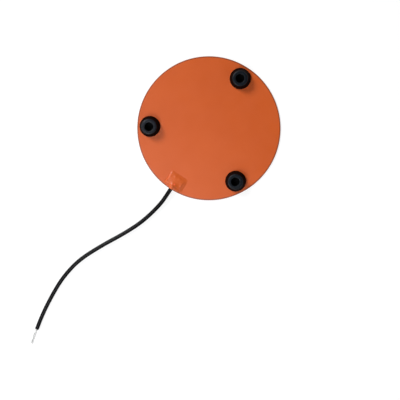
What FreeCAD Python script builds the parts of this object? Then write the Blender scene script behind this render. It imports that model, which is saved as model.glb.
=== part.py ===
import FreeCAD, Part
import math
import os

from FreeCAD import Vector as V

# Round silicone heater pad, millimetres.
# Frame: origin at the centre of the flat back face, +Z up through the pad,
# -Y towards the side where the lead leaves. The pad lies flat on its back,
# feet up, and the lead lies on the same surface (z = 0).

# ---------------------------------------------------------------- dimensions
pad_r = 75.0                # radius of the pad
base_t = 0.75               # lower sheet
cover_t = 0.75              # upper sheet
pad_t = base_t + cover_t

# heating element: one flat track in the top of the lower sheet
track_w = 2.3
track_t = 0.1
track_pitch = 3.8
track_count = 17            # straight tracks on each side of the middle
link_r = 66.2               # the tracks' ends lie on this circle
ring_r = 70.0               # the track that runs round the far side
tab_x0, tab_x1 = 1.0, 4.4   # soldering tabs at the element's two ends
tab_y0, tab_y1 = -63.2, -58.6

# joints between the lead's conductors and the tabs
joint_x = 2.7
joint_y = -61.2
joint_r = 1.4
joint_wall_top = 2.25
joint_top = 3.0

# lead
cable_d = 4.3
bore_d = 3.0
core_d = 1.15
wire_d = 0.6
wire_gap = 0.01             # between a conductor and its insulation
core_gap = 0.62             # each core's centre, from the lead's middle
twist_gap = 0.66            # the same where the cores twist
cable_x = 0.2
cable_z = pad_t + 0.2 + cable_d / 2   # 0.2 mm of silicone under the jacket
floor_z = cable_d / 2
core_low_z = 2.45           # height of the cores where they meet the joints
splay_r = 1.7               # bend of each core's middle line beside its joint

# centre line of the jacket: from its end under the cap to its free end
route = [
    (0.2, -71.2, cable_z),
    (0.2, -80.0, cable_z),
    (-0.5, -95.6, floor_z),
    (-6.7, -120.6, floor_z),
    (-16.5, -142.1, floor_z),
    (-30.0, -166.4, floor_z),
    (-42.4, -192.8, floor_z),
    (-47.0, -217.2, floor_z),
    (-47.1, -238.4, floor_z),
    (-44.7, -267.7, floor_z),
    (-41.55, -282.95, floor_z),
]

# stripped end of the lead: the two cores cross once, then lie side by side
strip_len = 18.2            # from the jacket's end to the conductors' tips
wire_tip = 2.0              # bare conductor beyond each core's end
twist_steps = 4
twist_turn = 45.0           # degrees a step
twist_run = 1.3             # length of a step
twist_drop = 0.55           # how far the pair comes down while it crosses
flat_at = 9.5               # from here on the pair lies on the surface
flat_z = 0.62

# cap over the joints and the end of the jacket
cap_x0, cap_x1 = -9.3, 11.6
cap_y0, cap_y1 = -57.2, -72.0
nose_y = -74.3
nose_r0, nose_r1 = 2.75, 2.5

# feet
foot_pitch_r = 61.5
foot_base_r = 10.9
foot_top_r = 8.3            # where the side meets the top, before rounding
foot_h = 9.0
foot_recess_r = 4.4
foot_recess_depth = 7.0
glue_r = 10.2
glue_t = 0.3
foot_at = {"rear": 90.0, "left": 210.0, "right": 330.0}

Z = V(0, 0, 1)
os.makedirs("parts", exist_ok=True)


# ------------------------------------------------------------------- helpers
def save(name, shape):
    solids = shape.Solids
    if len(solids) == 1:
        shape = solids[0]
    ok = shape.isValid()
    print("%-20s solids %d valid %s volume %.3f faces %d" % (name, len(solids), ok, shape.Volume, len(shape.Faces)))
    shape.exportStep("parts/" + name + ".step")


def corner_radius(a, b, c):
    """0.45 of the shorter run, divided by the tangent of half the turn."""
    u, w = b - a, c - b
    half = u.getAngle(w) / 2
    if half < 1e-5:
        return None
    return 0.45 * min(u.Length, w.Length) / math.tan(half)


def rounded_wire(points, radii):
    """Straight runs joined by tangent arcs; radii[i] belongs to points[i]."""
    edges = []
    here = points[0]
    for i in range(1, len(points) - 1):
        a, b, c = points[i - 1], points[i], points[i + 1]
        u, w = (b - a).normalize(), (c - b).normalize()
        half = u.getAngle(w) / 2
        r = radii[i]
        if r is None or half < 1e-5:
            continue
        t = r * math.tan(half)
        p0, p1 = b - u * t, b + w * t
        to_centre = (w - u).normalize()
        centre = b + to_centre * (r / math.cos(half))
        mid = centre - to_centre * r
        edges.append(Part.LineSegment(here, p0).toShape())
        edges.append(Part.Arc(p0, mid, p1).toShape())
        here = p1
    edges.append(Part.LineSegment(here, points[-1]).toShape())
    return Part.Wire(edges)


def tube(points, radii, r_out, r_in=0.0):
    """Solid of round section along the rounded route, with a bore if r_in."""
    path = rounded_wire(points, radii)
    axis = (points[1] - points[0]).normalize()
    rods = []
    for r in (r_out, r_in):
        if r > 0:
            rod = path.makePipeShell([Part.Wire([Part.Circle(points[0], axis, r).toShape()])], True, False)
            if rod.Volume < 0:
                rod.reverse()
            rods.append(rod)
    body = rods[0].cut(rods[1]) if r_in > 0 else rods[0]
    want = math.pi * (r_out ** 2 - r_in ** 2) * path.Length
    return body, path.Length, want


def check_tube(name, made):
    body, length, want = made
    print("%-20s length %.2f volume %.2f expected %.2f ratio %.5f" % (name, length, body.Volume, want, body.Volume / want))
    return body


# -------------------------------------------------------------- silicone pad
def mitred(points, side, h):
    """Offsets a right-angled line sideways by h, to the left (side 1) or right (-1)."""
    out = []
    for i, p in enumerate(points):
        normals = []
        if i > 0:
            d = (p - points[i - 1]).normalize()
            normals.append(V(-d.y, d.x, 0))
        if i < len(points) - 1:
            d = (points[i + 1] - p).normalize()
            normals.append(V(-d.y, d.x, 0))
        if len(normals) == 1:
            n = normals[0]
        else:
            n = (normals[0] + normals[1]) * (1.0 / (1.0 + normals[0].dot(normals[1])))
        out.append(p + n * (side * h))
    return out


# Centre line of the left half, from the soldering tab up the middle track,
# then to and fro outwards, and up the last track to the ring.
xs = [-(track_pitch * (i + 0.5)) for i in range(track_count)]
left_half = [V(xs[0], tab_y0 + 0.4, 0)]
for i in range(track_count - 1):
    up = i % 2 == 0
    end = math.sqrt(link_r ** 2 - xs[i + 1] ** 2) * (1 if up else -1)
    if not up and i + 1 <= 2:
        end = -57.0     # the tracks beside the tabs stop short of the cap's joints
    left_half += [V(xs[i], end, 0), V(xs[i + 1], end, 0)]
ring_y = math.sqrt(ring_r ** 2 - xs[-1] ** 2)
left_half.append(V(xs[-1], ring_y, 0))
h = track_w / 2
inner = mitred(left_half, -1, h)[:-1]    # right-hand side of the way out
outer = mitred(left_half, 1, h)[:-1]     # left-hand side of the way out
x_out, x_in = xs[-1] - h, xs[-1] + h
outer.append(V(x_out, math.sqrt((ring_r + h) ** 2 - x_out ** 2), 0))
inner.append(V(x_in, math.sqrt((ring_r - h) ** 2 - x_in ** 2), 0))


def flip(points):
    return [V(-p.x, p.y, 0) for p in reversed(points)]


def lines(points):
    return [Part.LineSegment(a, b).toShape() for a, b in zip(points, points[1:])]


outline = lines(outer)
outline.append(Part.Arc(outer[-1], V(0, ring_r + h, 0), V(-outer[-1].x, outer[-1].y, 0)).toShape())
outline += lines(flip(outer))
right_outer_end = V(-outer[0].x, outer[0].y, 0)
right_inner_end = V(-inner[0].x, inner[0].y, 0)
outline.append(Part.LineSegment(right_outer_end, right_inner_end).toShape())
back_in = [V(-p.x, p.y, 0) for p in inner]
outline += lines(back_in)
outline.append(Part.Arc(back_in[-1], V(0, ring_r - h, 0), inner[-1]).toShape())
outline += lines(list(reversed(inner)))
outline.append(Part.LineSegment(inner[0], outer[0]).toShape())
track = Part.Face(Part.Wire(outline)).extrude(V(0, 0, track_t))
tabs = [Part.makeBox(tab_x1 - tab_x0, tab_y1 - tab_y0, track_t, V(x, tab_y0, 0)) for x in (tab_x0, -tab_x1)]
element = track.multiFuse(tabs).removeSplitter()
element.translate(V(0, 0, base_t - track_t))

base_sheet = Part.makeCylinder(pad_r, base_t).cut(element)
joint_holes = [Part.makeCylinder(joint_r, cover_t + 2, V(cable_x + s * joint_x, joint_y, base_t - 1)) for s in (-1, 1)]
cover_sheet = Part.makeCylinder(pad_r, cover_t, V(0, 0, base_t)).cut(Part.makeCompound(joint_holes))

# ---------------------------------------------------------------------- lead
pts = [V(*p) for p in route]
radii = [None] * len(pts)
for i in range(1, len(pts) - 1):
    radii[i] = corner_radius(pts[i - 1], pts[i], pts[i + 1])
print("route radii", [round(r, 1) for r in radii[1:-1]])
print("route runs", [round((b - a).Length, 1) for a, b in zip(pts, pts[1:])])
jacket = check_tube("cable_jacket", tube(pts, radii, cable_d / 2, bore_d / 2))
jacket_rod = tube(pts, radii, cable_d / 2)[0]


def core_route(side):
    """The core on one side (-1 left, 1 right): joint, splay, inside the jacket, twisted end."""
    x = cable_x + side * joint_x
    first = [V(x, joint_y, core_low_z), V(x, joint_y - 2.3, core_low_z), V(cable_x + side * core_gap, -70.2, cable_z)]
    rr = [None, corner_radius(first[0], first[1], first[2]), None]
    # inside the jacket: parallel to its centre line, in plan
    inside = []
    plan = [V(p.x, p.y, 0) for p in pts]
    for i in range(1, len(pts) - 1):
        u, w = (plan[i] - plan[i - 1]).normalize(), (plan[i + 1] - plan[i]).normalize()
        nu, nw = V(-u.y, u.x, 0), V(-w.y, w.x, 0)       # to the left of the way out, which is +X
        m = (nu + nw) * (1.0 / (1.0 + nu.dot(nw)))
        inside.append(pts[i] + m * (side * core_gap))
    # beyond the jacket: across each other, then side by side
    u = (pts[-1] - pts[-2]).normalize()
    n = V(-u.y, u.x, 0)
    start = pts[-1] + u * 0.6
    twist = [start + n * (side * core_gap)]
    for k in range(1, twist_steps + 1):
        a = math.radians(twist_turn * k)
        mid = start + u * (twist_run * k) - Z * (twist_drop * k / twist_steps)
        gap = core_gap + (twist_gap - core_gap) * min(1.0, k / 2.0)
        twist.append(mid + n * (side * gap * math.cos(a)) + Z * (side * gap * math.sin(a)))
    for s in (flat_at, strip_len - 0.6):
        mid = start + u * s
        twist.append(V(mid.x, mid.y, flat_z) - n * (side * core_gap))
    allp = first + inside + twist
    allr = [None] * len(allp)
    for i in range(1, len(allp) - 1):
        allr[i] = corner_radius(allp[i - 1], allp[i], allp[i + 1])
    allr[1] = splay_r
    # the same tangent points as the jacket's arcs, so that the two stay parallel
    for j in range(len(inside)):
        i = len(first) + j
        a, b, c = allp[i - 1], allp[i], allp[i + 1]
        half = (b - a).getAngle(c - b) / 2
        t = radii[j + 1] * math.tan((pts[j + 1] - pts[j]).getAngle(pts[j + 2] - pts[j + 1]) / 2)
        if half > 1e-5:
            allr[i] = t / math.tan(half)
    return allp, allr


def cut_back(points, radii_, length):
    """The same route, ended earlier by the length given."""
    p, r = list(points), list(radii_)
    while length > 0:
        last = (p[-1] - p[-2]).Length
        t = 0.0
        if len(p) > 2 and r[-2] is not None:
            half = (p[-2] - p[-3]).getAngle(p[-1] - p[-2]) / 2
            t = r[-2] * math.tan(half)
        if last - length > t + 0.02:
            p[-1] = p[-1] - (p[-1] - p[-2]).normalize() * length
            break
        length -= last
        p.pop()
        r.pop()
        r[-1] = None
        if length <= 0:
            break
    return p, r


def drop_first(points, radii_, length):
    p = list(points)
    p[0] = p[0] + (p[1] - p[0]).normalize() * length
    return p, list(radii_)


cores, wires, core_rods = {}, {}, {}
for name, side in (("left", -1), ("right", 1)):
    p, r = core_route(side)
    print(name, "core radii", [round(q, 1) for q in r if q])
    wires[name] = check_tube(name + "_conductor", tube(p, r, wire_d / 2))
    q, rq = drop_first(p, r, joint_r + 0.12)
    q, rq = cut_back(q, rq, wire_tip)
    cores[name] = check_tube(name + "_core", tube(q, rq, core_d / 2, wire_d / 2 + wire_gap))
    core_rods[name] = tube(q, rq, core_d / 2)[0]

joints = {}
for name, side in (("left", -1), ("right", 1)):
    x = cable_x + side * joint_x
    profile = Part.Wire([
        Part.LineSegment(V(0, 0, base_t), V(joint_r, 0, base_t)).toShape(),
        Part.LineSegment(V(joint_r, 0, base_t), V(joint_r, 0, joint_wall_top)).toShape(),
        Part.Arc(V(joint_r, 0, joint_wall_top), V(joint_r * 0.76, 0, joint_wall_top + (joint_top - joint_wall_top) * 0.72), V(0, 0, joint_top)).toShape(),
        Part.LineSegment(V(0, 0, joint_top), V(0, 0, base_t)).toShape(),
    ])
    blob = Part.Face(profile).revolve(V(0, 0, 0), Z, 360)
    blob.translate(V(x, joint_y, 0))
    joints[name] = blob

# ----------------------------------------------------------------------- cap
# Sections across the lead: height over the pad at each x, lying over the
# joints first and then over the jacket.
cap_w = cap_x1 - cap_x0


def cap_section(y, edge, crest, width, power):
    """Steep on the left, thinning out on the right, with a broad ridge over the wires."""
    left, right = (0.35, 0.55, 0.8, 1.0), (1.0, 0.62, 0.3, 0.12)
    xs_ = [cap_x0, cap_x0 + 0.3, cap_x0 + 0.8, cap_x0 + 1.45, -5.2, -3.4, -1.6, cable_x, 2.0, 3.8, 5.8, cap_x1 - 3.4, cap_x1 - 2.1, cap_x1 - 0.9, cap_x1]
    top = []
    for i, x in enumerate(xs_):
        e = edge * (left[i] if i < 4 else right[i - 11] if i >= 11 else 1.0)
        k = math.exp(-abs((x - cable_x) / width) ** power)
        top.append(V(x, y, pad_t + e + (crest - edge) * k))
    curve = Part.BSplineCurve()
    curve.interpolate(top)
    low = pad_t - 0.6
    return Part.Wire([
        curve.toShape(),
        Part.LineSegment(top[-1], V(cap_x1, y, low)).toShape(),
        Part.LineSegment(V(cap_x1, y, low), V(cap_x0, y, low)).toShape(),
        Part.LineSegment(V(cap_x0, y, low), top[0]).toShape(),
    ])


sections = [
    cap_section(cap_y0, 0.3, 0.35, 6.0, 2.0),
    cap_section(-58.6, 0.7, 1.05, 6.0, 2.2),
    cap_section(-60.2, 1.1, 1.85, 5.8, 2.4),
    cap_section(-62.6, 1.3, 2.15, 5.6, 2.4),
    cap_section(-65.0, 1.3, 2.35, 5.4, 2.2),
    cap_section(-67.4, 1.3, 2.75, 5.0, 2.0),
    cap_section(-69.4, 1.3, 3.3, 4.2, 2.0),
    cap_section(-70.4, 1.3, 4.25, 3.6, 2.1),
    cap_section(-71.2, 1.15, 4.85, 3.4, 2.2),
    cap_section(cap_y1, 0.5, 4.8, 3.3, 2.2),
]
cap_body = Part.makeLoft(sections, True, False)
nose_len = abs(nose_y - cap_y1) + 1.2
nose_start = V(cable_x, cap_y1 + 1.2, cable_z)
nose = Part.makeCone(nose_r0, nose_r1, nose_len, nose_start, V(0, -1, 0))
foot_of_nose = Part.Face(Part.makePolygon([
    V(cable_x - nose_r0, cap_y1 + 1.2, pad_t - 0.5), V(cable_x + nose_r0, cap_y1 + 1.2, pad_t - 0.5),
    V(cable_x + nose_r1, nose_y, pad_t - 0.5), V(cable_x - nose_r1, nose_y, pad_t - 0.5),
    V(cable_x - nose_r0, cap_y1 + 1.2, pad_t - 0.5)])).extrude(V(0, 0, cable_z - pad_t + 0.5))
under = Part.makeBox(60, 60, 4, V(-30, -90, pad_t - 4))
cap = cap_body.multiFuse([nose, foot_of_nose]).cut(under)
for inside_piece in [jacket_rod, core_rods["left"], core_rods["right"], wires["left"], wires["right"], joints["left"], joints["right"]]:
    cap = cap.cut(inside_piece)
joints = {n: j.cut(wires[n]) for n, j in joints.items()}

# ---------------------------------------------------------------------- feet
def foot():
    z0, z1 = pad_t + glue_t, pad_t + glue_t + foot_h
    floor = z1 - foot_recess_depth
    ri, ro, rb = foot_recess_r, foot_top_r, foot_base_r
    slope = V(ro - rb, 0, foot_h - 0.9)          # side, from its foot to the top
    d = V(slope).normalize()
    side_top = V(ro, 0, z1) - d * 1.5            # outer shoulder
    lip = V(ro - 1.35, 0, z1)
    a = rb - 0.35
    edges = [
        Part.LineSegment(V(0, 0, z0), V(a, 0, z0)).toShape(),
        Part.Arc(V(a, 0, z0), V(rb - 0.06, 0, z0 + 0.2), V(rb, 0, z0 + 0.55)).toShape(),
        Part.LineSegment(V(rb, 0, z0 + 0.55), V(rb, 0, z0 + 0.9)).toShape(),
        Part.LineSegment(V(rb, 0, z0 + 0.9), side_top).toShape(),
        Part.Arc(side_top, V(ro - 0.42, 0, z1 - 0.38), lip).toShape(),
        Part.LineSegment(lip, V(ri + 0.7, 0, z1)).toShape(),
        Part.Arc(V(ri + 0.7, 0, z1), V(ri + 0.2, 0, z1 - 0.2), V(ri, 0, z1 - 0.7)).toShape(),
        Part.LineSegment(V(ri, 0, z1 - 0.7), V(ri, 0, floor)).toShape(),
        Part.LineSegment(V(ri, 0, floor), V(0, 0, floor)).toShape(),
        Part.LineSegment(V(0, 0, floor), V(0, 0, z0)).toShape(),
    ]
    return Part.Face(Part.Wire(edges)).revolve(V(0, 0, 0), Z, 360)


save("base_sheet", base_sheet)
save("cover_sheet", cover_sheet)
save("heating_element", element)
save("termination_cap", cap)
save("cable_jacket", jacket)
for name in ("left", "right"):
    save(name + "_core", cores[name])
    save(name + "_conductor", wires[name])
    save(name + "_solder_joint", joints[name])
for name, deg in foot_at.items():
    at = V(foot_pitch_r * math.cos(math.radians(deg)), foot_pitch_r * math.sin(math.radians(deg)), 0)
    one = foot()
    one.translate(at)
    save(name + "_foot", one)
    save(name + "_foot_adhesive", Part.makeCylinder(glue_r, glue_t, V(at.x, at.y, pad_t)))
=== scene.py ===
import math
import random

import bmesh
import bpy
from mathutils import Matrix, Vector, noise


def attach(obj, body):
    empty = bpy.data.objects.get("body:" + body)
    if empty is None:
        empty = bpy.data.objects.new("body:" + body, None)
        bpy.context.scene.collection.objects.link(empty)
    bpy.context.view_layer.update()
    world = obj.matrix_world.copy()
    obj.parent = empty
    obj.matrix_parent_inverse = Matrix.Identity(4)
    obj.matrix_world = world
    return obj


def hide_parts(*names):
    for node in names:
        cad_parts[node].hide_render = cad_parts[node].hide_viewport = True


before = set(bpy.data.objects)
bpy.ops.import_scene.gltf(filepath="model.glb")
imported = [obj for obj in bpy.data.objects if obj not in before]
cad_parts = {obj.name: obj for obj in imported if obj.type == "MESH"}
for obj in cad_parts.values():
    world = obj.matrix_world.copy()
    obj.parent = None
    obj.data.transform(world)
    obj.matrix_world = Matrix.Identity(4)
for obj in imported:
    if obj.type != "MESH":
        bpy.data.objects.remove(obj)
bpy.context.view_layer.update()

MM = 0.001
random.seed(7)
V = Vector
scene = bpy.context.scene


# ------------------------------------------------------------ camera, stage
def set_camera():
    """The photograph's view: nearly straight down, the pad's lead side to the lower left."""
    place = V((0.0323, 0.0511, 0.900))
    aim = V((0.03246, -0.06808, 0.0))
    turn = math.radians(122.32)
    forward = (aim - place).normalized()
    right = forward.cross(V((math.cos(turn), math.sin(turn), 0.0))).normalized()
    up = right.cross(forward)
    data = bpy.data.cameras.new("camera")
    data.sensor_fit = "HORIZONTAL"
    data.sensor_width = 36.0
    data.lens = 859.63 / 400 * 36.0
    data.clip_start, data.clip_end = 0.01, 20.0
    obj = bpy.data.objects.new("camera", data)
    rot = Matrix((right, up, -forward)).transposed()
    obj.matrix_world = Matrix.Translation(place) @ rot.to_4x4()
    scene.collection.objects.link(obj)
    scene.camera = obj


set_camera()


# ---------------------------------------------------------------- materials
class Mat:
    """A small builder for node materials."""

    def __init__(self, name):
        self.m = bpy.data.materials.new(name)
        self.m.use_nodes = True
        self.t = self.m.node_tree
        self.b = next(n for n in self.t.nodes if n.type == "BSDF_PRINCIPLED")
        self.coord = self.t.nodes.new("ShaderNodeTexCoord").outputs["Object"]

    def node(self, kind, **settings):
        n = self.t.nodes.new(kind)
        for k, v in settings.items():
            setattr(n, k, v)
        return n

    def link(self, a, b):
        self.t.links.new(a, b)

    def put(self, socket, value):
        if isinstance(value, bpy.types.NodeSocket):
            self.link(value, socket)
        else:
            socket.default_value = value

    def math(self, op, a, b=0.0, c=None):
        n = self.node("ShaderNodeMath", operation=op)
        self.put(n.inputs[0], a)
        self.put(n.inputs[1], b)
        if c is not None:
            self.put(n.inputs[2], c)
        return n.outputs[0]

    def noise(self, scale, detail=3.0, rough=0.55, vector=None, stretch=None):
        v = vector or self.coord
        if stretch is not None:
            mp = self.node("ShaderNodeMapping")
            mp.inputs["Scale"].default_value = stretch
            self.link(v, mp.inputs["Vector"])
            v = mp.outputs[0]
        n = self.node("ShaderNodeTexNoise")
        n.inputs["Scale"].default_value = scale
        n.inputs["Detail"].default_value = detail
        n.inputs["Roughness"].default_value = rough
        self.link(v, n.inputs["Vector"])
        return n.outputs["Fac"]

    def remap(self, value, a, b, c, d):
        n = self.node("ShaderNodeMapRange")
        self.put(n.inputs["Value"], value)
        for i, x in enumerate((a, b, c, d)):
            n.inputs[i + 1].default_value = x
        return n.outputs["Result"]

    def mix(self, fac, a, b):
        n = self.node("ShaderNodeMix", data_type="RGBA")
        self.put(n.inputs[0], fac)
        self.put(n.inputs[6], a)
        self.put(n.inputs[7], b)
        return n.outputs[2]

    def xyz(self):
        n = self.node("ShaderNodeSeparateXYZ")
        self.link(self.coord, n.inputs[0])
        return n.outputs

    def bump(self, height, distance, strength=1.0, normal=None):
        n = self.node("ShaderNodeBump")
        n.inputs["Strength"].default_value = strength
        n.inputs["Distance"].default_value = distance
        self.link(height, n.inputs["Height"])
        if normal is not None:
            self.link(normal, n.inputs["Normal"])
        return n.outputs[0]

    def base(self, colour):
        self.put(self.b.inputs["Base Color"], colour)

    def set(self, **values):
        for k, v in values.items():
            self.put(self.b.inputs[k.replace("_", " ")], v)


def rgb(r, g, b):
    return (r, g, b, 1.0)


def silicone(name, weave=True, tint=(0.56, 0.091, 0.0105), edge=False):
    """Orange silicone rubber: matt, slightly mottled, with the cloth's weave faintly telegraphed."""
    m = Mat(name)
    r, g, b = tint
    mottle = m.noise(38.0, 4.0, 0.6)
    cloud = m.noise(9.0, 2.0, 0.5)
    c1 = m.mix(m.remap(mottle, 0.3, 0.7, 0.0, 1.0), rgb(r * 0.965, g * 0.94, b * 0.92), rgb(r * 1.03, g * 1.06, b * 1.12))
    c2 = m.mix(m.remap(cloud, 0.35, 0.65, 0.0, 1.0), rgb(r * 0.97, g * 0.94, b * 0.9), rgb(r * 1.03, g * 1.05, b * 1.15))
    colour = m.mix(0.5, c1, c2)
    speck = m.noise(2600.0, 1.0, 0.5)
    colour = m.mix(m.remap(speck, 0.68, 0.78, 0.0, 0.35), colour, rgb(r * 1.1, g * 1.35, b * 1.9))
    normal = None
    fine = m.noise(1500.0, 3.0, 0.6)
    if weave:
        x, y, z = m.xyz()
        k = 2 * math.pi / 0.00075
        warp = m.math("SINE", m.math("MULTIPLY", x, k))
        weft = m.math("SINE", m.math("MULTIPLY", y, k))
        cross = m.math("MULTIPLY", warp, weft)
        normal = m.bump(m.math("MULTIPLY_ADD", cross, 0.5, fine), 0.00002, 0.55)
        if edge:
            # painted shade: a thin darker line all round near the rim
            rad = m.math("SQRT", m.math("ADD", m.math("MULTIPLY", x, x), m.math("MULTIPLY", y, y)))
            rad = m.math("MULTIPLY_ADD", m.noise(130.0, 3.0, 0.6), 0.0005, m.math("SUBTRACT", rad, 0.00025))
            rim = m.remap(rad, 0.0735, 0.0742, 0.0, 0.8)
            colour = m.mix(rim, colour, rgb(r * 0.36, g * 0.38, b * 0.5))
            # the cut edge: bond line between the sheets and pale cloth ends in each
            side = m.node("ShaderNodeNewGeometry")
            sep = m.node("ShaderNodeSeparateXYZ")
            m.link(side.outputs["Normal"], sep.inputs[0])
            upright = m.math("LESS_THAN", m.math("ABSOLUTE", sep.outputs[2]), 0.5)
            wob = m.math("MULTIPLY_ADD", m.noise(420.0, 3.0, 0.6), 0.00016, -0.00008)
            zz = m.math("ADD", z, wob)
            bond = m.math("LESS_THAN", m.math("ABSOLUTE", m.math("SUBTRACT", zz, 0.00075)), 0.00005)
            colour = m.mix(m.math("MULTIPLY", bond, upright), colour, rgb(r * 0.4, g * 0.35, b * 0.5))
            for level in (0.00037, 0.00113):
                ply = m.math("LESS_THAN", m.math("ABSOLUTE", m.math("SUBTRACT", zz, level)), 0.00009)
                ends = m.remap(m.noise(1900.0, 2.0, 0.5), 0.5, 0.62, 0.0, 0.55)
                colour = m.mix(m.math("MULTIPLY", m.math("MULTIPLY", ply, upright), ends), colour, rgb(0.72, 0.4, 0.27))
    else:
        normal = m.bump(fine, 0.00002, 0.5)
        normal = m.bump(m.noise(240.0, 3.0, 0.55), 0.00006, 0.5, normal)
    m.base(colour)
    m.put(m.b.inputs["Roughness"], m.remap(m.noise(70.0, 3.0, 0.6), 0.3, 0.7, 0.37, 0.45))
    m.b.inputs["Specular IOR Level"].default_value = 0.45
    m.link(normal, m.b.inputs["Normal"])
    return m.m


def black_rubber(name, tint=(0.003, 0.0052, 0.0085), rough=(0.36, 0.44), grain=900.0, depth=0.00003, level=0.25):
    m = Mat(name)
    r, g, b = tint
    big = m.noise(120.0, 4.0, 0.6)
    colour = m.mix(m.remap(big, 0.3, 0.7, 0.0, 1.0), rgb(r * 0.8, g * 0.8, b * 0.8), rgb(r * 1.3, g * 1.3, b * 1.35))
    dust = m.noise(1400.0, 2.0, 0.6)
    colour = m.mix(m.remap(dust, 0.68, 0.80, 0.0, 0.16), colour, rgb(0.05, 0.05, 0.05))
    m.base(colour)
    m.put(m.b.inputs["Roughness"], m.remap(m.noise(210.0, 4.0, 0.6), 0.3, 0.7, rough[0], rough[1]))
    m.b.inputs["Specular IOR Level"].default_value = level
    n1 = m.bump(m.noise(grain, 3.0, 0.6), depth, 0.6)
    m.link(m.bump(m.noise(grain * 0.22, 2.0, 0.5), depth * 1.6, 0.4, n1), m.b.inputs["Normal"])
    return m.m


def core_plastic():
    m = Mat("white_core_insulation")
    a = m.noise(300.0, 3.0, 0.55)
    m.base(m.mix(m.remap(a, 0.3, 0.7, 0.0, 1.0), rgb(0.50, 0.50, 0.495), rgb(0.56, 0.56, 0.555)))
    m.put(m.b.inputs["Roughness"], m.remap(a, 0.3, 0.7, 0.34, 0.46))
    m.link(m.bump(m.noise(2500.0, 2.0, 0.5), 0.00001, 0.5), m.b.inputs["Normal"])
    return m.m


def metal(name, tint, rough=(0.25, 0.42), scale=1800.0):
    m = Mat(name)
    r, g, b = tint
    a = m.noise(scale, 3.0, 0.6)
    m.base(m.mix(m.remap(a, 0.3, 0.7, 0.0, 1.0), rgb(r * 0.86, g * 0.86, b * 0.85), rgb(r, g, b)))
    m.b.inputs["Metallic"].default_value = 1.0
    m.put(m.b.inputs["Roughness"], m.remap(a, 0.3, 0.7, rough[0], rough[1]))
    m.link(m.bump(a, 0.00001, 0.4), m.b.inputs["Normal"])
    return m.m


mat_sheet = silicone("orange_silicone_sheet", weave=True, edge=True)
# painted sheen: the cap's tint is a touch lighter in green and blue than the sheet's, for haze its slopes miss
mat_cap = silicone("orange_silicone_cap", weave=False, tint=(0.558, 0.094, 0.013))


def painted_glint(mat, x, y, radius, gain):
    """A small painted highlight: a lighter, paler spot multiplied into the base colour; x, y and radius in mm."""
    nt = mat.node_tree
    base = next(n for n in nt.nodes if n.type == "BSDF_PRINCIPLED").inputs["Base Color"]
    under = base.links[0].from_socket
    place = nt.nodes.new("ShaderNodeTexCoord")
    flat = nt.nodes.new("ShaderNodeVectorMath")
    flat.operation = "MULTIPLY"
    flat.inputs[1].default_value = (1.0, 1.0, 0.0)
    nt.links.new(place.outputs["Object"], flat.inputs[0])
    dist = nt.nodes.new("ShaderNodeVectorMath")
    dist.operation = "DISTANCE"
    dist.inputs[1].default_value = (x * MM, y * MM, 0.0)
    nt.links.new(flat.outputs["Vector"], dist.inputs[0])
    fade = nt.nodes.new("ShaderNodeMapRange")
    fade.interpolation_type = "SMOOTHSTEP"
    for name, value in (("From Min", 0.45 * radius * MM), ("From Max", radius * MM), ("To Min", 1.0), ("To Max", 0.0)):
        fade.inputs[name].default_value = value
    nt.links.new(dist.outputs["Value"], fade.inputs["Value"])
    mix = nt.nodes.new("ShaderNodeMix")
    mix.data_type = "RGBA"
    mix.blend_type = "MULTIPLY"
    nt.links.new(fade.outputs["Result"], mix.inputs[0])
    nt.links.new(under, mix.inputs[6])
    mix.inputs[7].default_value = (*gain, 1.0)
    nt.links.new(mix.outputs[2], base)


# painted highlights on the cap: a glint on the crest near the nose and a paler glint on the small bump to its right
painted_glint(mat_cap, 1.0, -68.3, 1.2, (1.45, 1.28, 3.4))
painted_glint(mat_cap, 7.1, -66.3, 1.1, (1.1, 1.2, 1.8))
mat_glue = silicone("silicone_adhesive", weave=False, tint=(0.42, 0.08, 0.02))
mat_foot = black_rubber("black_foot_rubber", level=0.18)
# painted sheen: the left foot's rubber is a bluer, shinier copy, for the brighter reflection that foot catches
mat_foot_left_painted_sheen = black_rubber("black_foot_rubber_left_painted_sheen", tint=(0.0036, 0.0048, 0.0092), level=0.25)
mat_jacket = black_rubber("black_cable_jacket", tint=(0.0025, 0.0025, 0.003), rough=(0.27, 0.35), grain=1300.0, depth=0.000012, level=0.09)
mat_core = core_plastic()
# painted shade: the recess inside each foot is near black, darker than the rubber around it
mat_recess_painted_shade = black_rubber("black_foot_recess_painted_shade", tint=(0.0012, 0.0014, 0.0018), rough=(0.75, 0.85), level=0.08)
# painted reflection: the feet's sides are tinted reddish for the orange light the pad throws onto them
mat_foot_side_painted_bounce = black_rubber("black_foot_side_painted_bounce", tint=(0.0050, 0.0015, 0.0009), rough=(0.7, 0.8), level=0.03)
mat_wire = metal("tinned_strands", (0.50, 0.50, 0.495), (0.34, 0.5))
mat_solder = metal("solder", (0.66, 0.66, 0.65), (0.18, 0.4), 700.0)
mat_foil = metal("resistance_foil", (0.56, 0.53, 0.49), (0.3, 0.45), 500.0)


def repaint(node, mat):
    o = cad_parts[node]
    o.data.materials.clear()
    o.data.materials.append(mat)


for n in ("base_sheet", "cover_sheet"):
    repaint(n, mat_sheet)
repaint("heating_element", mat_foil)
repaint("termination_cap", mat_cap)
for n in ("left", "right"):
    repaint(n + "_solder_joint", mat_solder)
    repaint(n + "_core", mat_core)
    repaint(n + "_conductor", mat_wire)
repaint("cable_jacket", mat_jacket)
for n in ("rear", "left", "right"):
    repaint(n + "_foot", mat_foot)
    repaint(n + "_foot_adhesive", mat_glue)


# ------------------------------------------------------------- mesh helpers
def new_object(name, mesh, mat, slot, *nodes):
    obj = bpy.data.objects.new(name, mesh)
    scene.collection.objects.link(obj)
    if mat is not None:
        mesh.materials.clear()
        mesh.materials.append(mat)
    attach(obj, "root")
    if nodes:
        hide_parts(*nodes)
    return obj


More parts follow.
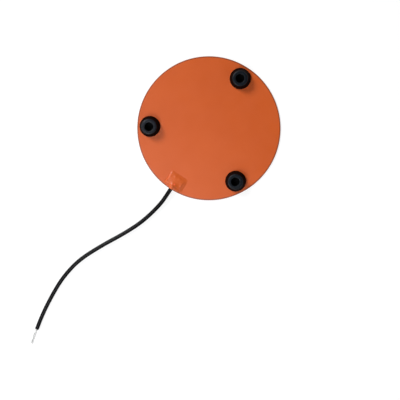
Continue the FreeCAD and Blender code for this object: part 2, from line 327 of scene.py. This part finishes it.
def smooth(mesh):
    mesh.polygons.foreach_set("use_smooth", [True] * len(mesh.polygons))
    mesh.update()


def rings_to_bm(bm, rings, close_start=True, close_end=True):
    """Skins a row of vertex rings, each a list of points of the same count."""
    vr = [[bm.verts.new(p) for p in ring] for ring in rings]
    n = len(vr[0])
    for a, b in zip(vr, vr[1:]):
        for i in range(n):
            j = (i + 1) % n
            bm.faces.new((a[i], a[j], b[j], b[i]))
    if close_start:
        bm.faces.new(list(reversed(vr[0])))
    if close_end:
        bm.faces.new(vr[-1])


def sweep_rings(points, radius, segs):
    """Round rings along a line of points; radius is one number or one for each point."""
    tangents = []
    for i in range(len(points)):
        a = points[max(0, i - 1)]
        b = points[min(len(points) - 1, i + 1)]
        tangents.append((b - a).normalized())
    ref = V((0, 0, 1))
    if abs(tangents[0].dot(ref)) > 0.9:
        ref = V((1, 0, 0))
    u = (ref - tangents[0] * ref.dot(tangents[0])).normalized()
    rings = []
    for i, p in enumerate(points):
        t = tangents[i]
        u = (u - t * u.dot(t)).normalized()
        w = t.cross(u)
        r = radius[i] if isinstance(radius, (list, tuple)) else radius
        rings.append([p + (u * math.cos(a) + w * math.sin(a)) * r for a in (2 * math.pi * k / segs for k in range(segs))])
    return rings


# ------------------------------------------------------------------- sheets
foot_at = {"rear": 90.0, "left": 210.0, "right": 330.0}


def foot_place(deg):
    return 61.5 * math.cos(math.radians(deg)), 61.5 * math.sin(math.radians(deg))


def calm(x, y):
    """1 on open sheet, 0 where a foot or the cap is bonded on."""
    k = 1.0
    for deg in foot_at.values():
        cx, cy = foot_place(deg)
        k *= min(1.0, max(0.0, (math.hypot(x - cx, y - cy) - 11.2) / 5.0))
    dx, dy = max(0.0, abs(x - 1.0) - 11.5), max(0.0, y + 57.0, -75.0 - y)
    return k * min(1.0, math.hypot(dx, dy) / 5.0)


def disc_mesh(name, upper, lower):
    """A closed disc from an upper and a lower profile, each a row of (radius, height(x, y)), middle outwards."""
    segs = 288
    bm = bmesh.new()
    rows = [("u", r, f) for r, f in upper] + [("l", r, f) for r, f in reversed(lower)]
    rings = []
    for _, r, f in rows:
        if r == 0:
            rings.append([bm.verts.new((0, 0, f(0, 0) * MM))])
            continue
        ring = []
        for k in range(segs):
            a = 2 * math.pi * k / segs
            # the outline is a cut one: a few hundredths of a millimetre in and out
            cut = 0.0
            if r > 70.0:
                cut = (r - 70.0) / 5.0 * (0.05 * noise.noise(V((math.cos(a) * 3.1, math.sin(a) * 3.1, 4.4))) - 0.05)
            x, y = (r + cut) * math.cos(a), (r + cut) * math.sin(a)
            ring.append(bm.verts.new((x * MM, y * MM, f(x, y) * MM)))
        rings.append(ring)
    for a, b in zip(rings, rings[1:]):
        for k in range(segs):
            j = (k + 1) % segs
            if len(a) == 1:
                bm.faces.new((a[0], b[k], b[j]))
            elif len(b) == 1:
                bm.faces.new((a[j], a[k], b[0]))
            else:
                bm.faces.new((a[k], b[k], b[j], a[j]))
    bmesh.ops.recalc_face_normals(bm, faces=bm.faces)
    mesh = bpy.data.meshes.new(name)
    bm.to_mesh(mesh)
    bm.free()
    smooth(mesh)
    return mesh


def top_of_sheet(drop):
    """Face of the pad: nearly flat, with the slow waviness of pressed rubber."""
    def f(x, y):
        w = 0.5 + 0.5 * noise.noise(V((x * 0.035, y * 0.035, 1.5))) + 0.12 * noise.noise(V((x * 0.12, y * 0.12, 7.5)))
        return 1.5 - 0.07 * min(1.0, max(0.0, w)) * calm(x, y) - drop
    return f


def level(z):
    return lambda x, y: z


def make_sheets():
    inner = [0.0] + [2.0 * k for k in range(1, 36)] + [71.0, 72.0, 72.8, 73.2]
    upper = [(r, top_of_sheet(0.0)) for r in inner]
    upper += [(73.6, top_of_sheet(0.015)), (74.0, top_of_sheet(0.035)), (74.4, top_of_sheet(0.04)), (74.65, top_of_sheet(0.055))]
    upper += [(74.82, top_of_sheet(0.1)), (74.93, top_of_sheet(0.18)), (74.985, top_of_sheet(0.29)), (75.0, level(1.12)), (75.0, level(0.95))]
    lower = [(0.0, level(0.75)), (30.0, level(0.75)), (60.0, level(0.75)), (72.0, level(0.75)), (74.7, level(0.752)), (74.9, level(0.77)), (74.97, level(0.82))]
    cover = new_object("cover_sheet_pressed", disc_mesh("cover_sheet_pressed", upper, lower), mat_sheet, "silicone_sheet", "cover_sheet")
    # the two holes that the lead's joints come up through, under the cap
    bm = bmesh.new()
    for side in (-1, 1):
        bmesh.ops.create_cone(bm, cap_ends=True, segments=32, radius1=1.42 * MM, radius2=1.42 * MM, depth=3 * MM,
                              matrix=Matrix.Translation(V((0.2 + side * 2.7, -61.2, 1.2)) * MM))
    tool_mesh = bpy.data.meshes.new("joint_holes")
    bm.to_mesh(tool_mesh)
    bm.free()
    tool = bpy.data.objects.new("joint_holes", tool_mesh)
    scene.collection.objects.link(tool)
    mod = cover.modifiers.new("holes", "BOOLEAN")
    mod.operation = "DIFFERENCE"
    mod.solver = "EXACT"
    mod.object = tool
    bpy.context.view_layer.update()
    cut = bpy.data.meshes.new_from_object(cover.evaluated_get(bpy.context.evaluated_depsgraph_get()))
    cover.modifiers.clear()
    old = cover.data
    cover.data = cut
    cut.name = "cover_sheet_cut"
    bpy.data.meshes.remove(old)
    bpy.data.objects.remove(tool)
    bpy.data.meshes.remove(tool_mesh)

    # lower sheet: its upper face lies under the element and meets the cover near the rim
    upper = [(0.0, level(0.645)), (30.0, level(0.645)), (60.0, level(0.645)), (71.6, level(0.645)), (72.4, level(0.74)), (74.7, level(0.748)), (74.9, level(0.73)), (74.97, level(0.68)), (75.0, level(0.55)), (75.0, level(0.38))]
    lower = [(r, level(0.0)) for r in (0.0, 10.0, 20.0, 30.0, 40.0, 50.0, 60.0, 70.0, 74.0, 74.5)]
    lower += [(74.74, level(0.012)), (74.87, level(0.05)), (74.95, level(0.12)), (74.99, level(0.22))]
    new_object("base_sheet_pressed", disc_mesh("base_sheet_pressed", upper, lower), mat_sheet, "silicone_sheet", "base_sheet")


make_sheets()


# --------------------------------------------------------------------- lead
cable_z = 3.85
floor_z = 2.15
route = [
    (0.2, -71.2, cable_z),
    (0.2, -80.0, cable_z),
    (-0.5, -95.6, floor_z),
    (-6.7, -120.6, floor_z),
    (-16.5, -142.1, floor_z),
    (-30.0, -166.4, floor_z),
    (-42.4, -192.8, floor_z),
    (-47.0, -217.2, floor_z),
    (-47.1, -238.4, floor_z),
    (-44.7, -267.7, floor_z),
    (-41.55, -282.95, floor_z),
]


def route_curve(name, bevel):
    data = bpy.data.curves.new(name, "CURVE")
    data.dimensions = "3D"
    data.resolution_u = 24
    s = data.splines.new("NURBS")
    s.points.add(len(route) - 1)
    for p, co in zip(s.points, route):
        p.co = (co[0] * MM, co[1] * MM, co[2] * MM, 1.0)
    s.order_u = 3
    s.use_endpoint_u = True
    s.resolution_u = 24
    if bevel:
        data.bevel_depth = 2.15 * MM
        data.bevel_resolution = 10
        data.use_fill_caps = True
    return data


def curve_points():
    """The points of the lead's own spline, in metres."""
    data = route_curve("route_line", False)
    obj = bpy.data.objects.new("route_line", data)
    scene.collection.objects.link(obj)
    bpy.context.view_layer.update()
    mesh = bpy.data.meshes.new_from_object(obj.evaluated_get(bpy.context.evaluated_depsgraph_get()))
    pts = [v.co.copy() for v in mesh.vertices]
    bpy.data.objects.remove(obj)
    bpy.data.meshes.remove(mesh)
    bpy.data.curves.remove(data)
    return pts


line = curve_points()
if (line[0] - V(route[0]) * MM).length > (line[-1] - V(route[0]) * MM).length:
    line.reverse()

cable_data = route_curve("lead_cable", True)
cable_data.materials.append(mat_jacket)
cable = bpy.data.objects.new("lead_cable", cable_data)
scene.collection.objects.link(cable)
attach(cable, "root")
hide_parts("cable_jacket")

core_gap, twist_gap = 0.62 * MM, 0.66 * MM
joint_x, joint_y, core_low_z = 2.7, -61.2, 2.45
strip_len, wire_tip = 18.2 * MM, 2.0 * MM
flat_at, flat_z = 9.5 * MM, 0.62 * MM


def soft_line(control, count):
    """A smooth line through a quadratic B-spline of the control points."""
    out = []
    ends = [control[0]] + [(a + b) / 2 for a, b in zip(control[1:-2], control[2:-1])] + [control[-1]]
    for k in range(len(ends) - 1):
        a, b, c = ends[k], control[k + 1], ends[k + 1]
        for i in range(count):
            t = i / count
            out.append(a * (1 - t) ** 2 + b * (2 * t * (1 - t)) + c * t ** 2)
    out.append(ends[-1])
    return out


def core_line(side):
    """Middle line of one core: joint, splay, along the lead's line, across its fellow, then flat beside it."""
    x = 0.2 + side * joint_x
    start = [
        V((x, joint_y, core_low_z)) * MM,
        V((x, joint_y - 2.3, core_low_z)) * MM,
        V((0.2 + side * 0.62, -70.2, cable_z)) * MM,
        V((0.2 + side * 0.62, -73.6, cable_z)) * MM,
    ]
    pts = soft_line(start, 10)
    for i in range(1, len(line) - 1):
        t = (line[i + 1] - line[i - 1]).normalized()
        n = V((-t.y, t.x, 0.0)).normalized()
        p = line[i] + n * (side * core_gap)
        if (p - pts[-1]).length > 0.8 * MM and p.y < pts[-1].y:
            pts.append(p)
    u = (line[-1] - line[-3]).normalized()
    n = V((-u.y, u.x, 0.0)).normalized()
    up = V((0, 0, 1))
    z0 = line[-1].z
    steps = 70
    run = strip_len - 0.6 * MM
    lines = []
    for k in range(steps + 1):
        s = run * k / steps
        turn = math.pi * min(1.0, s / (5.2 * MM))
        gap = core_gap + (twist_gap - core_gap) * math.sin(turn)
        down = 0.55 * MM * min(1.0, s / (5.2 * MM))
        if s > 5.2 * MM:
            f = min(1.0, (s - 5.2 * MM) / (flat_at - 5.2 * MM))
            down += (z0 - 0.55 * MM - flat_z) * f * f * (3 - 2 * f)
        # the pair is pushed a little aside by its own stiffness, and opens slightly at the tips
        aside = -0.3 * MM * math.sin(math.pi * s / run)
        open_ = 0.22 * MM * max(0.0, (s - 11.0 * MM) / (6.6 * MM)) ** 2
        c = line[-1] + u * (0.6 * MM + s) - up * down + n * aside
        lines.append(c + n * (side * (gap + open_) * math.cos(turn)) + up * (side * gap * math.sin(turn)))
    return pts + lines


def along(points, length):
    """The part of the line up to `length` before its end, and its last point set there."""
    out = list(points)
    while length > 0 and len(out) > 2:
        d = (out[-1] - out[-2]).length
        if d > length:
            out[-1] = out[-1] + (out[-2] - out[-1]).normalized() * length
            break
        length -= d
        out.pop()
    return out


core_objs, wire_objs = [], []
for name, side in (("left", -1), ("right", 1)):
    full = core_line(side)
    # insulation, with its cut end a little rounded
    ins = along(full, wire_tip)
    skip = 0
    while (ins[skip] - ins[0]).length < 1.5 * MM:
        skip += 1
    ins = ins[skip:]
    bm = bmesh.new()
    radii = [0.575 * MM] * len(ins)
    radii[-1] = 0.52 * MM
    rings_to_bm(bm, sweep_rings(ins, radii, 20))
    mesh = bpy.data.meshes.new(name + "_core_insulation")
    bm.to_mesh(mesh)
    bm.free()
    smooth(mesh)
    core_objs.append(new_object(name + "_core_insulation", mesh, mat_core, "core_insulation", name + "_core"))

    # conductor: one rod inside, seven laid strands where it shows
    bm = bmesh.new()
    rings_to_bm(bm, sweep_rings(along(full, wire_tip + 0.6 * MM), 0.27 * MM, 10))
    shown = []
    for p in reversed(full):
        shown.append(p)
        if sum((a - b).length for a, b in zip(shown, shown[1:])) > wire_tip + 1.0 * MM:
            break
    shown.reverse()
    fine = []
    for a, b in zip(shown, shown[1:]):
        for i in range(3):
            fine.append(a.lerp(b, i / 3))
    fine.append(shown[-1])
    frames = sweep_rings(fine, 1.0, 4)
    total = 0.0
    dist = [0.0]
    for a, b in zip(fine, fine[1:]):
        total += (b - a).length
        dist.append(total)
    for s in range(7):
        pts = []
        for i, p in enumerate(fine):
            u = frames[i][0] - p
            w = frames[i][1] - p
            r = 0.0 if s == 6 else 0.2 * MM
            ang = 2 * math.pi * (s / 6.0 + dist[i] / (5.5 * MM))
            flare = 1.0 + 0.35 * max(0.0, (dist[i] - total + 0.9 * MM) / (0.9 * MM)) * (0.4 + 0.6 * ((s * 37) % 7) / 6)
            pts.append(p + (u * math.cos(ang) + w * math.sin(ang)) * r * flare)
        cut = ((s * 53) % 5) * 0.05 * MM
        pts = along(pts, cut)
        rings_to_bm(bm, sweep_rings(pts, 0.1 * MM, 8))
    mesh = bpy.data.meshes.new(name + "_tinned_strands")
    bm.to_mesh(mesh)
    bm.free()
    smooth(mesh)
    wire_objs.append(new_object(name + "_tinned_strands", mesh, mat_wire, "tinned_wire", name + "_conductor"))


# --------------------------------------------------------------------- feet
def foot_profile():
    """Half section of a foot, radius and height in mm, from the middle of its recess outwards and down."""
    z0, z1 = 1.8, 10.8
    pts = [(0.0, z1 - 7.0), (3.4, z1 - 7.0), (4.05, z1 - 6.92), (4.3, z1 - 6.7), (4.38, z1 - 6.3), (4.4, z1 - 5.0), (4.4, z1 - 3.0), (4.4, z1 - 1.6), (4.4, z1 - 0.85)]
    for k in range(1, 8):                       # inner lip
        a = math.radians(90.0 * k / 7)
        pts.append((5.15 - 0.75 * math.cos(a), z1 - 0.75 + 0.75 * math.sin(a)))
    pts += [(5.6, z1), (6.1, z1), (6.6, z1)]
    for k in range(1, 11):                      # outer shoulder
        a = math.radians(73.0 * k / 10)
        pts.append((6.75 + 1.5 * math.sin(a), z1 - 1.5 + 1.5 * math.cos(a)))
    top = pts[-1]
    for k in range(1, 7):                       # side
        t = k / 6
        pts.append((top[0] + (10.86 - top[0]) * t, top[1] + (z0 + 1.05 - top[1]) * t))
    pts += [(10.9, z0 + 0.95), (10.9, z0 + 0.6)]
    for k in range(1, 6):
        a = math.radians(90.0 * k / 5)
        pts.append((10.5 + 0.4 * math.cos(a), z0 + 0.4 - 0.4 * math.sin(a)))
    pts += [(10.2, z0), (6.0, z0), (0.0, z0)]
    return pts


def make_foot(name, deg, seed):
    """Moulded rubber foot, with a slightly uneven wall, shoulder and top."""
    cx, cy = foot_place(deg)
    prof = foot_profile()
    segs = 144
    bm = bmesh.new()
    columns = []
    low = bm.verts.new((cx * MM, cy * MM, prof[0][1] * MM))
    end = bm.verts.new((cx * MM, cy * MM, prof[-1][1] * MM))
    for k in range(segs):
        a = 2 * math.pi * k / segs
        col = []
        for r, z in prof[1:-1]:
            q = V((math.cos(a) * r * 0.35, math.sin(a) * r * 0.35, z * 0.3 + seed * 9.1))
            wob = noise.noise(q)
            rr = r + (0.035 * wob if 4.5 < r < 10.6 else 0.0)
            zz = z + (0.03 * noise.noise(q * 1.7 + V((5, 5, 5))) if z > 10.0 and r > 4.6 else 0.0)
            zz = min(zz, 10.8)
            col.append(bm.verts.new(((cx + rr * math.cos(a)) * MM, (cy + rr * math.sin(a)) * MM, zz * MM)))
        columns.append(col)
    for k in range(segs):
        a, b = columns[k], columns[(k + 1) % segs]
        bm.faces.new((low, b[0], a[0]))
        for i in range(len(a) - 1):
            bm.faces.new((a[i], b[i], b[i + 1], a[i + 1]))
        bm.faces.new((a[-1], b[-1], end))
    bmesh.ops.recalc_face_normals(bm, faces=bm.faces)
    mesh = bpy.data.meshes.new(name + "_rubber_foot")
    bm.to_mesh(mesh)
    bm.free()
    smooth(mesh)
    # the left foot takes the copy of the rubber with painted sheen
    obj = new_object(name + "_rubber_foot", mesh, mat_foot_left_painted_sheen if name == "left" else mat_foot, "foot_rubber", name + "_foot")
    # slot 1: sides with a painted orange reflection; slot 2: recess with painted shade
    mesh.materials.append(mat_foot_side_painted_bounce)
    mesh.materials.append(mat_recess_painted_shade)
    # recess faces get the near-black material with painted shade
    for p in mesh.polygons:
        r = math.hypot(p.center.x - cx * MM, p.center.y - cy * MM)
        if r > 8.0 * MM:
            p.material_index = 1
        elif r < 4.6 * MM and p.center.z < 10.45 * MM:
            p.material_index = 2
    return obj


def make_bead(name, deg, seed):
    """Adhesive under a foot, squeezed out unevenly towards the foot's edge."""
    cx, cy = foot_place(deg)
    segs = 120
    bm = bmesh.new()
    shape = ((0.0, 1.5), (0.16, 1.5), (0.2, 1.53), (0.13, 1.6), (0.03, 1.7), (-0.05, 1.8))
    rings = []
    for dr, z in shape:
        ring = []
        for k in range(segs):
            a = 2 * math.pi * k / segs
            q = V((math.cos(a) * 2.2, math.sin(a) * 2.2, seed * 3.7))
            r = 10.42 + 0.16 * noise.noise(q) + 0.05 * noise.noise(q * 4) + dr
            ring.append(bm.verts.new(((cx + r * math.cos(a)) * MM, (cy + r * math.sin(a)) * MM, z * MM)))
        rings.append(ring)
    for a, b in zip(rings, rings[1:]):
        for k in range(segs):
            j = (k + 1) % segs
            bm.faces.new((a[k], a[j], b[j], b[k]))
    bm.faces.new(list(reversed(rings[0])))
    bm.faces.new(rings[-1])
    bmesh.ops.recalc_face_normals(bm, faces=bm.faces)
    mesh = bpy.data.meshes.new(name + "_adhesive_bead")
    bm.to_mesh(mesh)
    bm.free()
    smooth(mesh)
    return new_object(name + "_adhesive_bead", mesh, mat_glue, "silicone_adhesive", name + "_foot_adhesive")


for i, (name, deg) in enumerate(foot_at.items()):
    make_foot(name, deg, i + 1)
    make_bead(name, deg, i + 1)


# ---------------------------------------------------------------------- cap
def ramp(a, b, t):
    """0 up to a, 1 from b on, smooth between; a may be the larger."""
    t = min(1.0, max(0.0, (t - a) / (b - a)))
    return t * t * (3 - 2 * t)


def along_cap(y, table):
    for (ya, va), (yb, vb) in zip(table, table[1:]):
        if y >= yb:
            return va + (vb - va) * slope(ya, yb, y)
    return table[-1][1]


cap_crest = ((-57.0, 0.12), (-58.6, 0.8), (-60.2, 1.5), (-61.6, 1.85), (-63.0, 2.07), (-66.0, 2.5), (-67.6, 3.0), (-69.0, 3.7), (-70.2, 4.35), (-71.2, 4.9), (-74.0, 4.85))
cap_width = ((-57.0, 6.2), (-65.0, 6.0), (-68.0, 5.5), (-70.0, 4.7), (-71.4, 3.8), (-74.0, 3.2))
cap_left, cap_right, cap_rear, cap_front = -9.35, 11.5, -56.9, -72.1


def slope(a, b, t):
    """0 up to a, 1 from b on, straight between; a may be the larger."""
    return min(1.0, max(0.0, (t - a) / (b - a)))


def cap_height(x, y):
    """Height in mm of the cap over the pad's face: a low wedge, steep on the left, thinning out to the right and to the rear."""
    wave = 0.14 * noise.noise(V((y * 0.22, 2.2, 0.0)))
    wave2 = 0.22 * noise.noise(V((x * 0.2, 5.2, 0.0)))
    xl = cap_left + wave + 0.035 * (y + 64.0)        # the left edge runs a little askew
    left = 0.3 * slope(xl, xl + 0.25, x) + 0.7 * slope(xl + 0.25, xl + 1.4, x)
    right = slope(cap_right + wave2, 7.6, x)
    rear = 0.1 * slope(cap_rear + wave2, cap_rear + wave2 - 0.6, y) + 0.9 * slope(cap_rear + wave2, -63.6, y)
    reach = cap_front - 1.4 * ramp(0.5, 2.5, x) * ramp(9.8, 7.4, x)      # right of the nose it runs on to the rim
    front = slope(reach + wave2 * 0.5, reach + wave2 * 0.5 + 0.45, y)
    body = left * right * rear * front
    crest = along_cap(y, cap_crest)
    wide = along_cap(y, cap_width)
    if x < 0.3:
        wide *= 1.0 - 0.26 * ramp(-65.5, -69.8, y)
    off = abs(x - 0.3)
    k = math.exp(-(off / wide) ** 2.0)
    # right of the nose the cap falls away evenly, down to the rim
    fall = 0.6 * ramp(-70.6, -71.6, y) if x > 0.3 else 0.0
    even = 1.0 - (off * off / 4.6 if off < 2.3 else off - 1.15) / 8.8
    k += (max(0.0, even) - k) * fall
    thick = 1.55 * (1.0 - 0.4 * fall)
    flat = thick * body * (1.0 + 0.05 * ramp(0.5, 6.5, x))
    edge = min(1.0, 2.5 * slope(cap_rear, cap_rear - 4.0, y)) * slope(cap_right, 6.0, x) ** (1.0 - 0.6 * fall)
    edge *= slope(cap_left, -6.0, x) * slope(reach - 0.5, reach - 0.2, y)
    h = flat + max(0.0, crest - thick * rear) * k * edge
    for jx, jy in ((-2.5, -60.9), (2.9, -60.9)):
        h += 0.31 * math.exp(-((x - jx) ** 2 + (y - jy) ** 2) / 2.4)
    h += 0.30 * math.exp(-((x - 7.6) ** 2 + (y + 66.3) ** 2) / 1.1)
    h += body * (0.09 * noise.noise(V((x * 0.35, y * 0.35, 3.3))) + 0.04 * noise.noise(V((x * 0.9, y * 0.9, 8.8))))
    return h


def make_cap():
    bm = bmesh.new()
    # body: a closed height field, cut off below where it meets the pad
    nx, ny = 116, 88
    top, low = [], []
    for j in range(ny + 1):
        rt, rl = [], []
        for i in range(nx + 1):
            x = cap_left - 0.6 + (cap_right - cap_left + 1.2) * i / nx
            y = cap_front - 2.1 + (cap_rear - cap_front + 2.6) * j / ny
            rt.append(bm.verts.new((x, y, 1.42 + cap_height(x, y))))
            rl.append(bm.verts.new((x, y, 0.6)))
        top.append(rt)
        low.append(rl)
    for j in range(ny):
        for i in range(nx):
            bm.faces.new((top[j][i], top[j][i + 1], top[j + 1][i + 1], top[j + 1][i]))
            bm.faces.new((low[j][i], low[j + 1][i], low[j + 1][i + 1], low[j][i + 1]))
    for j in range(ny):
        bm.faces.new((top[j][0], top[j + 1][0], low[j + 1][0], low[j][0]))
        bm.faces.new((top[j + 1][nx], top[j][nx], low[j][nx], low[j + 1][nx]))
    for i in range(nx):
        bm.faces.new((top[0][i + 1], top[0][i], low[0][i], low[0][i + 1]))
        bm.faces.new((top[ny][i], top[ny][i + 1], low[ny][i + 1], low[ny][i]))
    # nose: a tapering sleeve over the lead, filled in below
    rings = []
    for k in range(25):
        t = k / 24
        y = -69.9 + (-74.3 + 69.9) * t
        r = 2.15 + 0.6 * min(1.0, t / 0.3) - 0.26 * t
        if k > 20:
            r -= 0.2 * ((k - 20) / 4) ** 2
        ring = []
        for q in range(40):
            a = 2 * math.pi * q / 40
            x = 0.2 + r * math.cos(a)
            z = cable_z + r * math.sin(a)
            if a > math.pi:
                x = 0.2 + r * (1.04 + 0.1 * math.sin(a) ** 2) * math.cos(a)
                z = cable_z + (cable_z - 0.6) * math.sin(a)
            r2 = 1.0 + 0.02 * noise.noise(V((x, y, z)))
            ring.append(V((0.2 + (x - 0.2) * r2, y, z)))
        rings.append(ring)
    rings_to_bm(bm, rings)
    for v in bm.verts:
        v.co *= MM
    bmesh.ops.recalc_face_normals(bm, faces=bm.faces)
    mesh = bpy.data.meshes.new("cap_raw")
    bm.to_mesh(mesh)
    bm.free()
    obj = bpy.data.objects.new("cap_raw", mesh)
    scene.collection.objects.link(obj)
    rem = obj.modifiers.new("remesh", "REMESH")
    rem.mode = "VOXEL"
    rem.voxel_size = 0.18 * MM
    sm = obj.modifiers.new("smooth", "SMOOTH")
    sm.factor = 0.5
    sm.iterations = 4
    bpy.context.view_layer.update()
    done = bpy.data.meshes.new_from_object(obj.evaluated_get(bpy.context.evaluated_depsgraph_get()))
    bpy.data.objects.remove(obj)
    bm = bmesh.new()
    bm.from_mesh(done)
    bpy.data.meshes.remove(done)
    cut = bmesh.ops.bisect_plane(
        bm, geom=bm.verts[:] + bm.edges[:] + bm.faces[:], plane_co=(0, 0, 1.5 * MM), plane_no=(0, 0, 1), clear_inner=True)
    rim = [e for e in cut["geom_cut"] if isinstance(e, bmesh.types.BMEdge)]
    bmesh.ops.holes_fill(bm, edges=rim, sides=0)
    bmesh.ops.recalc_face_normals(bm, faces=bm.faces)
    mesh = bpy.data.meshes.new("silicone_cap")
    bm.to_mesh(mesh)
    bm.free()
    flat = [abs(p.normal.z) < 0.999 or p.center.z > 1.51 * MM for p in mesh.polygons]
    mesh.polygons.foreach_set("use_smooth", flat)
    mesh.update()
    return new_object("silicone_cap", mesh, mat_cap, "silicone_cap", "termination_cap")


make_cap()


# ------------------------------------------------------------ floor, lights
def make_floor():
    bm = bmesh.new()
    s = 3.0
    vs = [bm.verts.new((x * s, y * s, -0.0001)) for x, y in ((-1, -1), (1, -1), (1, 1), (-1, 1))]
    bm.faces.new(vs)
    mesh = bpy.data.meshes.new("studio_floor")
    bm.to_mesh(mesh)
    bm.free()
    obj = bpy.data.objects.new("studio_floor", mesh)
    scene.collection.objects.link(obj)
    m = Mat("floor_paper")
    a = m.noise(3.0, 3.0, 0.5)
    m.base(m.mix(a, rgb(0.25, 0.25, 0.25), rgb(0.27, 0.27, 0.27)))
    m.b.inputs["Roughness"].default_value = 0.9
    m.b.inputs["Specular IOR Level"].default_value = 0.1
    m.b.inputs["Emission Color"].default_value = rgb(1.0, 1.0, 1.0)
    m.b.inputs["Emission Strength"].default_value = 0.77
    mesh.materials.append(m.m)


make_floor()


def area_light(name, place, aim, size, power, colour=(1, 1, 1)):
    data = bpy.data.lights.new(name, "AREA")
    data.shape = "DISK"
    data.size = size
    data.energy = power
    data.color = colour
    obj = bpy.data.objects.new(name, data)
    obj.location = place
    obj.rotation_euler = (V(aim) - V(place)).to_track_quat("-Z", "Y").to_euler()
    scene.collection.objects.link(obj)
    return obj


def from_picture(right, up, height, dist):
    """A place given by the picture's own right and up directions on the floor."""
    r = V((0.842, 0.532, 0.0)).normalized()
    u = V((-0.535, 0.845, 0.0)).normalized()
    d = (r * right + u * up).normalized() * math.cos(height) + V((0, 0, 1)) * math.sin(height)
    return d * dist


def soft_light(name, turn, height, dist, size, share, colour=(1, 1, 1)):
    """A round soft light; `turn` counts from the picture's right towards its top, `share` is what it adds to a white floor."""
    h, t = math.radians(height), math.radians(turn)
    power = share * math.pi ** 2 * dist ** 2 / math.sin(h)
    area_light(name, from_picture(math.cos(t), math.sin(t), h, dist), (0.0, -0.02, 0.0), size, power, colour)


soft_light("key", 135, 38, 3.0, 1.1, 0.50)
soft_light("sheen", 232, 50, 0.6, 0.24, 0.33, (0.97, 0.985, 1.0))
soft_light("upper", 255, 64, 0.75, 0.22, 0.065, (0.95, 0.975, 1.0))
soft_light("upper_left", 190, 66, 0.75, 0.22, 0.07, (0.95, 0.975, 1.0))
soft_light("back", 315, 28, 1.5, 0.6, 0.04)


def studio_world():
    """Pale all round, with the ceiling over the table in shade."""
    world = bpy.data.worlds.new("studio")
    scene.world = world
    world.use_nodes = True
    t = world.node_tree
    bg = next(n for n in t.nodes if n.type == "BACKGROUND")
    coord = t.nodes.new("ShaderNodeTexCoord")
    sep = t.nodes.new("ShaderNodeSeparateXYZ")
    t.links.new(coord.outputs["Generated"], sep.inputs[0])
    ramp = t.nodes.new("ShaderNodeValToRGB")
    steps = ((0.0, 0.85), (0.2, 0.62), (0.45, 0.16), (1.0, 0.015))
    el = ramp.color_ramp.elements
    while len(el) < len(steps):
        el.new(0.5)
    for e, (pos, v) in zip(el, steps):
        e.position = pos
        e.color = (v, v, v, 1.0)
    t.links.new(sep.outputs[2], ramp.inputs[0])
    t.links.new(ramp.outputs[0], bg.inputs["Color"])
    bg.inputs["Strength"].default_value = 1.0


studio_world()

scene.view_settings.view_transform = "Standard"
scene.view_settings.look = "None"
scene.view_settings.exposure = 0.0
scene.view_settings.gamma = 1.0
